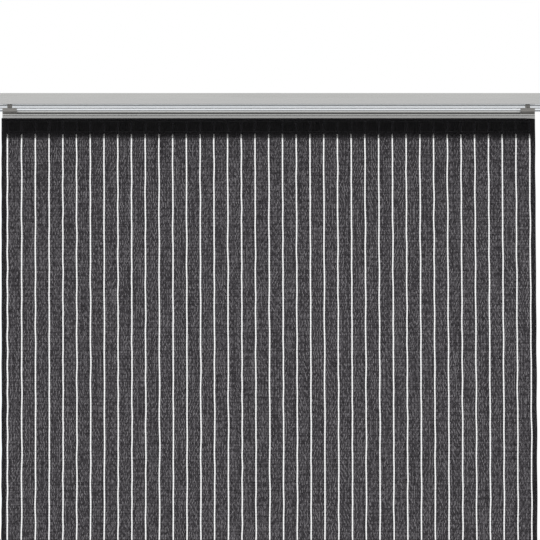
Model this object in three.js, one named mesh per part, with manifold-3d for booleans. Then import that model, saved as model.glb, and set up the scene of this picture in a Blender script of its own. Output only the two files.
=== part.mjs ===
// Sliding panel curtain: an open-work cloth panel that runs in the front channel of a ceiling track.
// Millimetres. X runs along the track, -Y faces the room, +Z is up, and the ceiling is the plane z = 0.
import * as THREE from 'three';
import { mergeVertices } from 'three/addons/utils/BufferGeometryUtils.js';
import Module from 'manifold-3d';

const wasm = await Module();
wasm.setup();

// Driving dimensions: fits
const gap = 0.3;
const runningGap = 0.4;

// Driving dimensions: track
const railLength = 1400;
const channelCount = 3;
const channelWidth = 18.5;
const channelHeight = 5.5;
const slotWidth = 6;
const railWall = 1.5;
const flangeThickness = 1.5;
const webThickness = 1.2;
const recessDepth = 4.8;
const ceilingShadowGap = 0.5;
const beadHeight = 0.5;
const beadWidth = 1.2;
const snapRibWidth = 1.2;
const snapRibThickness = 1.2;
const railCornerRadius = 1;
const edgeRadius = 0.4;
const mouldedRadius = 0.8;
const mouldedChamfer = 0.4;

// Driving dimensions: ceiling clips
const clipLength = 28;
const clipInset = 100;
const clipPlateThickness = 2;
const clipLegThickness = 1.6;
const clipNoseHeight = 1.4;
const screwHoleRadius = 2.25;
const screwHeadRadius = 4.2;
const screwBossWall = 1;
const screwBossClearance = 1.3;
const screwOffset = 15;

// Driving dimensions: end caps
const capThickness = 2;
const plugLength = 6;

// Driving dimensions: gliders
const headLength = 16;
const headSideClearance = 3.25;
const headTopClearance = 0.5;
const headRounding = 0.8;
const stemLength = 5.4;
const stemRoot = 0.2;
const blockLength = 16.2;
const blockDrop = 4;
const blockAboveHolder = 1.7;
const blockFront = 4.4;

// Driving dimensions: top holder
const holderDrop = 10.4;
const holderWall = 1.2;
const holderChannelWidth = 6;
const holderChannelDepth = 7.5;
const holderLip = 0.8;
const frontLipThickness = 1;
const rearLipThickness = 2.6;
const holderRearRise = 5.3;
const holderHeight = 27.4;
const ribHeight = 1.3;
const ribProud = 0.5;
const ribGrooveHeight = 1;
const ribGrooveDepth = 0.5;
const lowerLipProud = 1;
const lowerLipHeight = 1.6;

// Driving dimensions: tapes and cloth
const tapeThickness = 1.2;
const tapeInset = 0.5;
const tapeAboveLip = 1.8;
const clothWidth = 600;
const clothDrop = 2370;
const clothBelowHolder = 5.5;
const clothThickness = 0.9;
const cordGrooveDepth = 0.17;
const cordGrooveWidth = 0.9;
const cordsPerStrip = 5;
const slitCount = 39;
const slitWidth = 1.3;
const edgeStripWidth = 6.25;
const topEdgeBand = 3.2;
const selvageThickness = 1.3;
const selvageCordWidth = 1.5;
const selvageCordPitch = 2.2;

// Driving dimensions: bottom hem, bar and plugs
const barHeight = 20;
const barThickness = 4;
const barWall = 1;
const barCornerRadius = 1.2;
const barPlugInset = 0.7;
const barPlugHead = 5;
const barPlugTongue = 12;
const hemWall = 0.8;
const hemTaper = 9;
const seamHeight = 4;

// Levels and planes that follow from the sizes above
const channelPitch = channelWidth + railWall;
const railDepth = channelCount * channelPitch + railWall;
const railTop = -ceilingShadowGap;
const recessFloor = railTop - recessDepth;
const channelTop = recessFloor - webThickness;
const channelFloor = channelTop - channelHeight;
const railBottom = channelFloor - flangeThickness;
const frontChannelY = -channelPitch * (channelCount - 1) / 2;
const recessHalf = railDepth / 2 - railWall;
const headBottom = channelFloor + beadHeight + gap;
const headTop = channelTop - headTopClearance;
const headWidth = channelWidth - 2 * headSideClearance;
const screwBossRadius = screwHeadRadius + screwBossWall;
const screwBossHeight = -(recessFloor + screwBossClearance);
const holderTop = railBottom - holderDrop;
const holderBottom = holderTop - holderHeight;
const holderFront = frontChannelY - holderChannelWidth / 2 - holderWall;
const hookTapeFront = holderFront - gap - tapeThickness;
const loopTapeFront = hookTapeFront - gap - tapeThickness;
const clothMiddle = loopTapeFront - gap - selvageThickness / 2;
const clothTop = holderTop - clothBelowHolder;
const clothBottom = clothTop - clothDrop;
const tapeTop = clothTop - tapeInset;
const tapeBottom = holderBottom + lowerLipHeight + tapeAboveLip;
const slitPitch = (clothWidth - 2 * edgeStripWidth) / (slitCount - 1);
const hemHalf = barThickness / 2 + gap + hemWall;
const pocketBottom = clothBottom + hemWall;
const barBottom = pocketBottom + gap;
const pocketShoulder = barBottom + barHeight + gap;
const pocketTop = pocketShoulder + hemTaper;
const seamTop = pocketTop + seamHeight;
const barLength = clothWidth - 2 * (barPlugInset + barPlugHead + gap);
const barMiddle = barBottom + barHeight / 2;

const finishes = {
  anodisedAluminium: { color: 0xc6cacb, roughness: 0.42, metalness: 0.85 },
  greyPlastic: { color: 0x84807b, roughness: 0.6, metalness: 0 },
  paleGreyPlastic: { color: 0xb9babb, roughness: 0.55, metalness: 0 },
  blackTape: { color: 0x161616, roughness: 0.95, metalness: 0 },
  blackCloth: { color: 0x222124, roughness: 0.9, metalness: 0 },
};

const object = new THREE.Group();

function addPiece(name, geometry, finish, x = 0) {
  const mesh = new THREE.Mesh(geometry, new THREE.MeshStandardMaterial(finishes[finish]));
  mesh.name = name;
  mesh.position.x = x;
  object.add(mesh);
}

// Booleans

function toSolid(geometry) {
  const bare = geometry.index ? geometry.toNonIndexed() : geometry.clone();
  bare.deleteAttribute('normal');
  bare.deleteAttribute('uv');
  const merged = mergeVertices(bare, 1e-4);
  const mesh = new wasm.Mesh({
    numProp: 3,
    vertProperties: new Float32Array(merged.attributes.position.array),
    triVerts: new Uint32Array(merged.index.array),
  });
  return new wasm.Manifold(mesh);
}

function toGeometry(solid) {
  const mesh = solid.getMesh();
  const geometry = new THREE.BufferGeometry();
  geometry.setAttribute('position', new THREE.BufferAttribute(mesh.vertProperties, 3));
  geometry.setIndex(new THREE.BufferAttribute(mesh.triVerts, 1));
  const faceted = geometry.toNonIndexed();
  faceted.computeVertexNormals();
  return faceted;
}

function join(geometries) {
  return geometries.map(toSolid).reduce((sum, solid) => sum.add(solid));
}

function cut(solid, cutters) {
  return cutters.reduce((rest, cutter) => rest.subtract(toSolid(cutter)), solid);
}

// Outlines: each corner is [across, up, radius]

function outline(corners) {
  const shape = new THREE.Shape();
  corners.forEach(([across, up, radius = 0], i) => {
    const here = new THREE.Vector2(across, up);
    const entry = pointTowards(here, corners.at(i - 1), radius);
    const exit = pointTowards(here, corners[(i + 1) % corners.length], radius);
    if (i === 0) {
      shape.moveTo(entry.x, entry.y);
    } else {
      shape.lineTo(entry.x, entry.y);
    }
    if (radius > 0) {
      shape.quadraticCurveTo(here.x, here.y, exit.x, exit.y);
    }
  });
  shape.closePath();
  return shape;
}

function pointTowards(from, corner, distance) {
  const direction = new THREE.Vector2(corner[0], corner[1]).sub(from).normalize();
  return from.clone().addScaledVector(direction, distance);
}

function mirroredOutline(rightHalf) {
  const leftHalf = rightHalf.map(([across, up, radius]) => [-across, up, radius]).reverse();
  return outline([...rightHalf, ...leftHalf]);
}

function roundedRectangle(width, height, radius) {
  const corner = Math.min(radius, 0.4 * Math.min(width, height));
  return outline([
    [width / 2, -height / 2, corner],
    [width / 2, height / 2, corner],
    [-width / 2, height / 2, corner],
    [-width / 2, -height / 2, corner],
  ]);
}

// Extrusions

const acrossBecomesY = new THREE.Matrix4().set(0, 0, 1, 0, 1, 0, 0, 0, 0, 1, 0, 0, 0, 0, 0, 1);

function extrude(shape, length, chamfer = 0) {
  return new THREE.ExtrudeGeometry(shape, {
    depth: length - 2 * chamfer,
    bevelEnabled: chamfer > 0,
    bevelThickness: chamfer,
    bevelSize: chamfer,
    bevelOffset: -chamfer,
    bevelSegments: 1,
    curveSegments: 4,
  }).translate(0, 0, chamfer);
}

function extrudeAlongX(shape, length, chamfer = 0) {
  return extrude(shape, length, chamfer).translate(0, 0, -length / 2).applyMatrix4(acrossBecomesY);
}

function extrudeUpwards(shape, bottom, top, chamfer = 0) {
  return extrude(shape, top - bottom, chamfer).translate(0, 0, bottom);
}

// Track

function channelOutline() {
  const half = channelWidth / 2;
  const slot = slotWidth / 2;
  return mirroredOutline([
    [slot, railBottom - railWall],
    [slot, channelFloor + beadHeight, edgeRadius],
    [slot + beadWidth, channelFloor + beadHeight, edgeRadius],
    [slot + beadWidth, channelFloor],
    [half, channelFloor, edgeRadius],
    [half, channelTop, edgeRadius],
  ]);
}

function recessOutline() {
  const mouth = recessHalf - snapRibWidth;
  const ribUnderside = railTop - snapRibThickness;
  return mirroredOutline([
    [recessHalf, recessFloor, edgeRadius],
    [recessHalf, ribUnderside],
    [mouth, ribUnderside, edgeRadius],
    [mouth, railTop + railWall],
  ]);
}

function railOutline() {
  return mirroredOutline([
    [railDepth / 2, railBottom, railCornerRadius],
    [railDepth / 2, railTop, edgeRadius],
  ]);
}

function channelCentres() {
  return Array.from({ length: channelCount }, (_, i) => frontChannelY + i * channelPitch);
}

function trackRail() {
  const overrun = railLength + 2 * railWall;
  const channels = channelCentres().map((y) => (
    extrudeAlongX(channelOutline(), overrun).translate(0, y, 0)
  ));
  const recess = extrudeAlongX(recessOutline(), overrun);
  const blank = toSolid(extrudeAlongX(railOutline(), railLength));
  return toGeometry(cut(blank, [...channels, recess]));
}

// Ceiling clips

function clipOutline() {
  const plateHalf = recessHalf - snapRibWidth - gap;
  const noseHalf = recessHalf - gap;
  const noseTop = railTop - snapRibThickness - gap;
  const noseTip = noseTop - clipNoseHeight / 2;
  const footBottom = recessFloor + gap;
  return mirroredOutline([
    [plateHalf - clipLegThickness, -clipPlateThickness, edgeRadius],
    [plateHalf - clipLegThickness, footBottom],
    [plateHalf, footBottom],
    [noseHalf, noseTip],
    [noseHalf, noseTop],
    [plateHalf, noseTop],
    [plateHalf, 0, edgeRadius],
  ]);
}

function screwSeat() {
  const headDepth = screwHeadRadius - screwHoleRadius;
  const bottom = -screwBossHeight;
  const profile = [
    new THREE.Vector2(0, bottom - gap),
    new THREE.Vector2(screwHeadRadius, bottom - gap),
    new THREE.Vector2(screwHeadRadius, bottom),
    new THREE.Vector2(screwHoleRadius, bottom + headDepth),
    new THREE.Vector2(screwHoleRadius, gap),
    new THREE.Vector2(0, gap),
  ];
  return new THREE.LatheGeometry(profile, 24).rotateX(Math.PI / 2);
}

function screwBoss() {
  return new THREE.CylinderGeometry(screwBossRadius, screwBossRadius, screwBossHeight, 24)
    .rotateX(Math.PI / 2)
    .translate(0, 0, -screwBossHeight / 2);
}

function ceilingClip() {
  const sides = [-1, 1];
  const bosses = sides.map((side) => screwBoss().translate(0, side * screwOffset, 0));
  const seats = sides.map((side) => screwSeat().translate(0, side * screwOffset, 0));
  const body = join([extrudeAlongX(clipOutline(), clipLength), ...bosses]);
  return toGeometry(cut(body, seats));
}

// End caps

function capPlug(centreY, width, bottom, top) {
  const section = roundedRectangle(width, top - bottom, mouldedRadius);
  const length = plugLength + gap + capThickness / 2;
  return extrudeAlongX(section, length, mouldedChamfer)
    .translate(-length / 2 + capThickness / 2, centreY, (bottom + top) / 2);
}

function rightEndCap() {
  const plate = extrudeAlongX(railOutline(), capThickness).translate(capThickness / 2, 0, 0);
  const channelPlugs = channelCentres().map((y) => (
    capPlug(y, channelWidth - 2 * gap, channelFloor + beadHeight + gap, channelTop - gap)
  ));
  const mouth = recessHalf - snapRibWidth;
  const recessPlug = capPlug(0, 2 * (mouth - gap), recessFloor + gap, railTop - gap);
  return join([plate, ...channelPlugs, recessPlug]);
}

function mirroredEndCap() {
  return toGeometry(rightEndCap().mirror([1, 0, 0]));
}

// Gliders

function gliderBlockOutline() {
  const blockTop = railBottom - blockDrop;
  const blockBottom = holderTop + blockAboveHolder;
  const frontLipBottom = holderTop - frontLipThickness;
  const rearLipBottom = holderTop + holderRearRise - rearLipThickness;
  const footBottom = holderTop - holderChannelDepth + gap;
  const inner = holderChannelWidth / 2 - gap;
  const neck = holderChannelWidth / 2 - holderLip - gap;
  return outline([
    [-inner, footBottom, mouldedRadius],
    [inner, footBottom, mouldedRadius],
    [inner, rearLipBottom - gap],
    [neck, rearLipBottom - gap],
    [neck, blockTop, mouldedRadius],
    [-blockFront, blockTop, mouldedRadius],
    [-blockFront, blockBottom, mouldedRadius],
    [-neck, blockBottom],
    [-neck, frontLipBottom - gap],
    [-inner, frontLipBottom - gap],
  ]);
}

function glider() {
  const head = roundedRectangle(headLength, headWidth, headWidth / 4);
  const stem = roundedRectangle(stemLength, slotWidth - 2 * runningGap, edgeRadius);
  const blockTop = railBottom - blockDrop;
  return toGeometry(join([
    extrudeUpwards(head, headBottom, headTop, headRounding),
    extrudeUpwards(stem, blockTop - stemRoot, (headBottom + headTop) / 2),
    extrudeAlongX(gliderBlockOutline(), blockLength, mouldedChamfer),
  ]).translate([0, frontChannelY, 0]));
}

// Top holder

function holderOutline() {
  const inner = holderChannelWidth / 2;
  const outer = inner + holderWall;
  const rearTop = holderTop + holderRearRise;
  const lowerLipTop = holderBottom + lowerLipHeight;
  const floor = holderTop - holderChannelDepth;
  const ribBottom = holderTop - ribHeight;
  return outline([
    [-outer - ribProud, holderTop, edgeRadius],
    [-outer - ribProud, ribBottom, edgeRadius],
    [-outer + ribGrooveDepth, ribBottom],
    [-outer + ribGrooveDepth, ribBottom - ribGrooveHeight],
    [-outer, ribBottom - ribGrooveHeight, edgeRadius / 2],
    [-outer, lowerLipTop],
    [-outer - lowerLipProud, lowerLipTop, edgeRadius],
    [-outer - lowerLipProud, holderBottom, edgeRadius],
    [-inner, holderBottom, edgeRadius],
    [-inner, floor - holderWall],
    [outer, floor - holderWall, railCornerRadius],
    [outer, rearTop, edgeRadius],
    [inner - holderLip, rearTop, edgeRadius],
    [inner - holderLip, rearTop - rearLipThickness],
    [inner, rearTop - rearLipThickness],
    [inner, floor, edgeRadius],
    [-inner, floor, edgeRadius],
    [-inner, holderTop - frontLipThickness],
    [-inner + holderLip, holderTop - frontLipThickness],
    [-inner + holderLip, holderTop, edgeRadius],
  ]);
}

function topHolder() {
  return extrudeAlongX(holderOutline(), clothWidth).translate(0, frontChannelY, 0);
}

// Tapes

function tape(frontY) {
  const section = roundedRectangle(tapeThickness, tapeTop - tapeBottom, edgeRadius);
  return extrudeAlongX(section, clothWidth - 2 * tapeInset)
    .translate(0, frontY + tapeThickness / 2, (tapeTop + tapeBottom) / 2);
}

// Cloth

function slitCentres() {
  return Array.from({ length: slitCount }, (_, i) => (i - (slitCount - 1) / 2) * slitPitch);
}

// Half thickness of the cloth along one strip: flat-topped cords with a groove between each two
function stripContour(left, cords, cordWidth) {
  const crest = clothThickness / 2;
  const valley = crest - cordGrooveDepth;
  return Array.from({ length: cords }, (_, i) => {
    const start = left + i * cordWidth;
    return [
      [start, valley],
      [start + cordGrooveWidth / 2, crest],
      [start + cordWidth - cordGrooveWidth / 2, crest],
    ];
  }).flat();
}

function selvageContour(innerEdge, side) {
  const thick = selvageThickness / 2;
  const thin = clothThickness / 2 - cordGrooveDepth;
  const outerEdge = side * clothWidth / 2;
  const cordCentres = [1, 0].map((i) => (
    outerEdge - side * (selvageCordWidth / 2 + i * selvageCordPitch)
  ));
  const points = [[innerEdge, thin]];
  for (const centre of cordCentres) {
    points.push([centre - side * selvageCordWidth / 2, thin]);
    points.push([centre - side * selvageCordWidth / 4, thick]);
    points.push([centre + side * selvageCordWidth / 4, thick]);
  }
  points.push([outerEdge, thin]);
  return points;
}

function clothContour() {
  const centres = slitCentres();
  const cordWidth = slitPitch / cordsPerStrip;
  const strips = centres.slice(0, -1).flatMap((x) => stripContour(x, cordsPerStrip, cordWidth));
  const left = selvageContour(centres[0], -1).reverse();
  const right = selvageContour(centres.at(-1), 1);
  return [...left.slice(0, -1), ...strips, ...right];
}

function clothSection() {
  const contour = clothContour();
  const front = contour.map(([x, half]) => new THREE.Vector2(x, -half));
  const back = contour.map(([x, half]) => new THREE.Vector2(x, half)).reverse();
  return new THREE.Shape([...front, ...back]);
}

function hemOutline() {
  const shape = mirroredOutline([
    [hemHalf, clothBottom, hemHalf / 2],
    [hemHalf, pocketShoulder, hemWall],
    [hemWall, pocketTop, hemWall],
    [clothThickness / 2, seamTop],
  ]);
  const pocketHalf = hemHalf - hemWall;
  shape.holes.push(mirroredOutline([
    [pocketHalf, pocketBottom, pocketHalf / 2],
    [pocketHalf, pocketShoulder, hemWall],
    [hemWall / 4, pocketTop],
  ]));
  return shape;
}

function panelCloth() {
  const panel = extrudeUpwards(clothSection(), pocketTop, clothTop);
  const hem = extrudeAlongX(hemOutline(), clothWidth);
  const slitTop = clothTop - topEdgeBand;
  const slitHeight = slitTop - seamTop;
  const slit = new THREE.BoxGeometry(slitWidth, 2 * selvageThickness, slitHeight);
  const slits = slitCentres().map((x) => slit.clone().translate(x, 0, seamTop + slitHeight / 2));
  return toGeometry(cut(join([panel, hem]), slits).translate([0, clothMiddle, 0]));
}

// Bottom bar and its plugs

function bottomBar() {
  const section = roundedRectangle(barThickness, barHeight, barCornerRadius);
  section.holes.push(roundedRectangle(barThickness - 2 * barWall, barHeight - 2 * barWall, barWall / 2));
  return extrudeAlongX(section, barLength).translate(0, clothMiddle, barMiddle);
}

function barPlug(side) {
  const head = roundedRectangle(barThickness, barHeight, barCornerRadius);
  const tongueInset = 2 * (barWall + gap);
  const tongue = roundedRectangle(barThickness - tongueInset, barHeight - tongueInset, barWall / 2);
  const headMiddle = barLength / 2 + gap + barPlugHead / 2;
  const tongueLength = barPlugTongue + gap + barPlugHead / 2;
  const tongueMiddle = headMiddle - tongueLength / 2;
  return toGeometry(join([
    extrudeAlongX(head, barPlugHead, mouldedChamfer).translate(side * headMiddle, 0, 0),
    extrudeAlongX(tongue, tongueLength).translate(side * tongueMiddle, 0, 0),
  ]).translate([0, clothMiddle, barMiddle]));
}

// Assembly

const capX = railLength / 2 + gap;
const clipX = railLength / 2 - clipInset;
const gliderX = (clothWidth - blockLength) / 2;

addPiece('track_rail', trackRail(), 'anodisedAluminium');
addPiece('track_end_cap_left', mirroredEndCap(), 'paleGreyPlastic', -capX);
addPiece('track_end_cap_right', toGeometry(rightEndCap()), 'paleGreyPlastic', capX);
addPiece('ceiling_clip_left', ceilingClip(), 'paleGreyPlastic', -clipX);
addPiece('ceiling_clip_middle', ceilingClip(), 'paleGreyPlastic');
addPiece('ceiling_clip_right', ceilingClip(), 'paleGreyPlastic', clipX);
addPiece('top_holder', topHolder(), 'anodisedAluminium');
addPiece('glider_left', glider(), 'greyPlastic', -gliderX);
addPiece('glider_right', glider(), 'greyPlastic', gliderX);
addPiece('hook_tape', tape(hookTapeFront), 'blackTape');
addPiece('loop_tape', tape(loopTapeFront), 'blackTape');
addPiece('panel_cloth', panelCloth(), 'blackCloth');
addPiece('bottom_bar', bottomBar(), 'anodisedAluminium');
addPiece('bottom_bar_cap_left', barPlug(-1), 'greyPlastic');
addPiece('bottom_bar_cap_right', barPlug(1), 'greyPlastic');

export default object;
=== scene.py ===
# %% [markdown]
# # A sliding panel curtain, dressed for its picture
# A panel curtain is a flat cloth that hangs from a slim metal holder. Two gliders carry the
# holder in a channel of the ceiling track, and a flat bar in the bottom hem keeps the cloth
# straight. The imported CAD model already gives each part's true place and size. This script loads
# it as a fixed frame and then works on what the CAD leaves out: the open weave and its slits, the
# threads that cross them, the sewing, the pile of the tapes, and the finish of metal and plastic.

# %% Load the frame
import math

import bpy
import numpy as np
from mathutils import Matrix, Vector


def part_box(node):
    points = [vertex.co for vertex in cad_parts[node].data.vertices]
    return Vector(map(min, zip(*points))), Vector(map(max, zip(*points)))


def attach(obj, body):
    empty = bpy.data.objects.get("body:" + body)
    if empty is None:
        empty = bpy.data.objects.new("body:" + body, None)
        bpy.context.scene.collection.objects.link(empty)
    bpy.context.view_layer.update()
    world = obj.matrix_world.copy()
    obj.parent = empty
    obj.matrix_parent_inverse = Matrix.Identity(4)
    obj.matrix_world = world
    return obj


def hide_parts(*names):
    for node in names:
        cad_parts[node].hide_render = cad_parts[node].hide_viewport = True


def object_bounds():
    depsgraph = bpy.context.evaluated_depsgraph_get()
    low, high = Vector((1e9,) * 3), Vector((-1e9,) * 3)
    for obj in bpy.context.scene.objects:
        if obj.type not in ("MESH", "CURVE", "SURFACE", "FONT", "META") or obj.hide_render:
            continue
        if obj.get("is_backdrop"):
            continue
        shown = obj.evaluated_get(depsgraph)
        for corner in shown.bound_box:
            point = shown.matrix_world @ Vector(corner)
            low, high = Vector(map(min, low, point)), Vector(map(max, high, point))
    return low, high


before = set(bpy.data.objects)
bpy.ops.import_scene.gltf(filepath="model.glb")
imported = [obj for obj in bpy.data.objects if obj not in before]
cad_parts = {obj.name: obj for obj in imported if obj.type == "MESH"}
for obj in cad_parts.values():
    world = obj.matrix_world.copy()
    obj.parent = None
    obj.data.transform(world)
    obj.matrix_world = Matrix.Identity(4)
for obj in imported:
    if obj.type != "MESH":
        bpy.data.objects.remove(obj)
cad_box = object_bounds()
MM = 0.001

# %% [markdown]
# ## Where things are
# Every new piece has to sit on the part that carries it, so all its places come from the boxes
# of the CAD pieces and not from numbers typed in by eye. A few sizes that a box can't show, such
# as the number of slits and their width, are named here.

# %% Places and sizes
cloth_low, cloth_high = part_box("panel_cloth")
tape_low, tape_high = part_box("loop_tape")
bar_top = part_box("bottom_bar")[1].z
CLOTH_Y = (cloth_low.y + cloth_high.y) / 2
CLOTH_HALF_WIDTH = (cloth_high.x - cloth_low.x) / 2
CLOTH_TOP, CLOTH_BOTTOM = cloth_high.z, cloth_low.z
CLOTH_THICKNESS = 0.9 * MM
SLIT_COUNT = 39
EDGE_STRIP = 6.25 * MM
SLIT_WIDTH = 1.44 * MM
SLIT_PITCH = (2 * CLOTH_HALF_WIDTH - 2 * EDGE_STRIP) / (SLIT_COUNT - 1)
SLIT_TOP = CLOTH_TOP - 3.2 * MM
THREAD_PITCH = 2.92 * MM
TAPE_HEIGHT = 16 * MM
SEAM_TOP = bar_top + 13.3 * MM
TURNED_PAST_SEAM = 2.5 * MM
print(f"cloth {2 * CLOTH_HALF_WIDTH:.3f} m wide and {CLOTH_TOP - CLOTH_BOTTOM:.3f} m long")
print(f"{SLIT_COUNT} slits, one every {SLIT_PITCH / MM:.2f} mm")

# %% [markdown]
# ## The camera
# The picture was taken from far away with a long lens, a little from below: the undersides of
# the track show, and its lines stay parallel. A camera 12 m away that looks up by 7 degrees
# gives the same view. The angle of view follows from how much of the cloth the picture takes in.

# %% Camera
VIEW_WIDTH = 0.6071
VIEW_DISTANCE = 12.0
VIEW_RISE = math.radians(7.2)
view_centre = Vector((0.0015, CLOTH_Y, -0.20114))
view_direction = Vector((0, math.cos(VIEW_RISE), math.sin(VIEW_RISE)))

camera_data = bpy.data.cameras.new("camera")
camera_data.lens = camera_data.sensor_width * VIEW_DISTANCE / VIEW_WIDTH
camera_data.clip_end = 500
camera = bpy.data.objects.new("camera", camera_data)
bpy.context.scene.collection.objects.link(camera)
camera.location = view_centre - view_direction * VIEW_DISTANCE
camera.rotation_euler = (math.pi / 2 + VIEW_RISE, 0, 0)
bpy.context.scene.camera = camera
bpy.context.scene.view_settings.view_transform = "Standard"
print(f"camera {VIEW_DISTANCE} m away, lens {camera_data.lens:.0f} mm")

# %% [markdown]
# ## Small helpers for materials
# A material is a network of nodes, and these helpers keep the cells below short. One starts a
# material, one adds a node with its settings and what feeds it, and one gives a point's place on
# the piece in millimetres, squeezed or stretched along each axis. Object coordinates don't
# depend on the camera, so a pattern stays where it is in every view. The others are the few
# steps that every finish here needs: noise, a range, a colour ramp, a bump, a sum and a mix.

# %% Nodes and places
def new_material(name):
    material = bpy.data.materials.new(name)
    material.use_nodes = True
    return material, material.node_tree.nodes["Principled BSDF"]


def add_node(material, kind, feeds=None, **settings):
    node = material.node_tree.nodes.new(kind)
    for name, value in settings.items():
        setattr(node, name, value)
    for socket, value in (feeds or {}).items():
        if isinstance(value, bpy.types.NodeSocket):
            material.node_tree.links.new(value, node.inputs[socket])
        else:
            node.inputs[socket].default_value = value
    return node


def feed(material, source, target):
    material.node_tree.links.new(source, target)


def place_in_mm(material, scale=(1, 1, 1)):
    coordinates = add_node(material, "ShaderNodeTexCoord")
    mapping = add_node(material, "ShaderNodeMapping", {"Vector": coordinates.outputs["Object"]})
    mapping.inputs["Scale"].default_value = [1000 * s for s in scale]
    return mapping.outputs["Vector"]

# %% Noise, ranges and colours
def noise(material, vector, scale, detail=2, distortion=0.0):
    feeds = {"Vector": vector, "Scale": scale, "Detail": detail, "Distortion": distortion}
    return add_node(material, "ShaderNodeTexNoise", feeds).outputs["Fac"]


def between(material, value, low, high, source=(0.3, 0.7)):
    feeds = {"Value": value, 1: source[0], 2: source[1], 3: low, 4: high}
    return add_node(material, "ShaderNodeMapRange", feeds).outputs["Result"]


def colours(material, value, stops):
    node = add_node(material, "ShaderNodeValToRGB", {"Fac": value})
    elements = node.color_ramp.elements
    while len(elements) < len(stops):
        elements.new(0.5)
    for element, (place, colour) in zip(elements, stops):
        element.position = place
        element.color = (*colour, 1)
    return node.outputs["Color"]


def tint(material, value, stops):
    """Colour the surface by value, from stops of (value, colour)."""
    shader = material.node_tree.nodes["Principled BSDF"]
    feed(material, colours(material, value, stops), shader.inputs["Base Color"])


def scaled(shade, factor):
    return tuple(channel * factor for channel in shade)

# %% Bumps, sums and mixes
def bump(material, height, depth, strength=1.0, below=None):
    """The normal over a height from 0 to 1 that stands for a depth in millimetres."""
    feeds = {"Height": height, "Distance": depth * MM, "Strength": strength}
    if below is not None:
        feeds["Normal"] = below
    return add_node(material, "ShaderNodeBump", feeds).outputs["Normal"]


def math_node(material, operation, *values):
    feeds = dict(enumerate(values))
    return add_node(material, "ShaderNodeMath", feeds, operation=operation).outputs["Value"]


def mix_shaders(material, share, first, second):
    feeds = {0: share, 1: first, 2: second}
    return add_node(material, "ShaderNodeMixShader", feeds).outputs[0]


def show(material, shader):
    feed(material, shader, material.node_tree.nodes["Material Output"].inputs["Surface"])


def dress(piece, material):
    piece.data.materials.clear()
    piece.data.materials.append(material)

# %% [markdown]
# ## Background and light
# The picture has a bright, plain background, seen past the track and through the slits. The world
# gives it: rays from the camera see white. Rays that bounce off metal see daylight that is a
# little dimmer, and bluer from behind, so the lips of the profiles tell front from rear. All other
# rays see a softer grey, which lights the cloth from all round. One large lamp in front and one
# behind give the metal its slow gradients. Both are broad, so no shadow has a hard edge.

# %% World and lamps
WHITE = (1, 1, 1, 1)
ROOM_COLOUR, ROOM_STRENGTH = (0.95, 0.97, 1.0, 1), 0.62
DAYLIGHT_IN_FRONT, DAYLIGHT_BEHIND = (0.92, 0.92, 0.91), (0.87, 0.935, 1.0)
world = bpy.data.worlds.new("studio")
bpy.context.scene.world = world
world.use_nodes = True
world.node_tree.nodes.clear()


def background(colour, strength):
    feeds = {"Color": colour, "Strength": strength}
    return add_node(world, "ShaderNodeBackground", feeds).outputs[0]


direction = add_node(world, "ShaderNodeTexCoord").outputs["Generated"]
ahead = add_node(world, "ShaderNodeSeparateXYZ", {"Vector": direction}).outputs["Y"]
backwards = between(world, ahead, 0, 1, (-0.4, 0.6))
daylight = colours(world, backwards, [(0.0, DAYLIGHT_IN_FRONT), (1.0, DAYLIGHT_BEHIND)])
rays = add_node(world, "ShaderNodeLightPath").outputs
direct = math_node(world, "MAXIMUM", rays["Is Camera Ray"], rays["Is Transmission Ray"])
seen = mix_shaders(world, direct, background(ROOM_COLOUR, ROOM_STRENGTH), background(WHITE, 1.0))
seen = mix_shaders(world, rays["Is Glossy Ray"], seen, background(daylight, 1.0))
add_node(world, "ShaderNodeOutputWorld", {"Surface": seen})


def soft_lamp(name, place, target, size, power):
    data = bpy.data.lights.new(name, "AREA")
    data.shape = "DISK"
    data.size = size
    data.energy = power
    lamp = bpy.data.objects.new(name, data)
    bpy.context.scene.collection.objects.link(lamp)
    lamp.location = place
    lamp.rotation_euler = (Vector(target) - Vector(place)).to_track_quat("-Z", "Y").to_euler()


LAMP_SIZE, LAMP_POWER = 3.0, 55
soft_lamp("lamp_front", (-3.0, -4.5, 2.2), (0, 0, -0.9), LAMP_SIZE, LAMP_POWER)
soft_lamp("lamp_back", (2.2, 4.2, 0.6), (0, 0, -1.2), LAMP_SIZE, LAMP_POWER)
print("world and two soft lamps")

# %% [markdown]
# ## The floor
# The panel ends a few centimetres above a pale floor, which catches its soft shadow. A flat disc
# is enough. Its colour fades into the white of the world some metres out, so that the floor has
# no visible end.

# %% Floor
ABOVE_FLOOR = 0.05
FLOOR_Z = CLOTH_BOTTOM - ABOVE_FLOOR
FLOOR_RADIUS = 14
FADE_START, FADE_END = 2.2, 8.0
bpy.ops.object.select_all(action="DESELECT")
bpy.ops.mesh.primitive_circle_add(
    vertices=96, radius=FLOOR_RADIUS, fill_type="NGON", location=(0, 0, FLOOR_Z))
floor = bpy.context.active_object
floor.name = "studio_floor"
bpy.ops.object.transform_apply(location=True, rotation=True, scale=True)
floor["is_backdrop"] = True

floor_paint, paint = new_material("pale floor")
paint.inputs["Roughness"].default_value = 0.8
paint.inputs["Specular IOR Level"].default_value = 0.2
grain = noise(floor_paint, place_in_mm(floor_paint), 0.02)
tint(floor_paint, grain, [(0.3, (0.80, 0.80, 0.79)), (0.7, (0.84, 0.84, 0.83))])
in_metres = place_in_mm(floor_paint, (MM, MM, 0))
far_out = add_node(floor_paint, "ShaderNodeVectorMath", {0: in_metres}, operation="LENGTH")
fade = between(floor_paint, far_out.outputs["Value"], 0, 1, (FADE_START, FADE_END))
rays = add_node(floor_paint, "ShaderNodeLightPath").outputs
sees_white = math_node(floor_paint, "MAXIMUM", rays["Is Camera Ray"], rays["Is Glossy Ray"])
sees_white = math_node(floor_paint, "MAXIMUM", sees_white, rays["Is Transmission Ray"])
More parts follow.
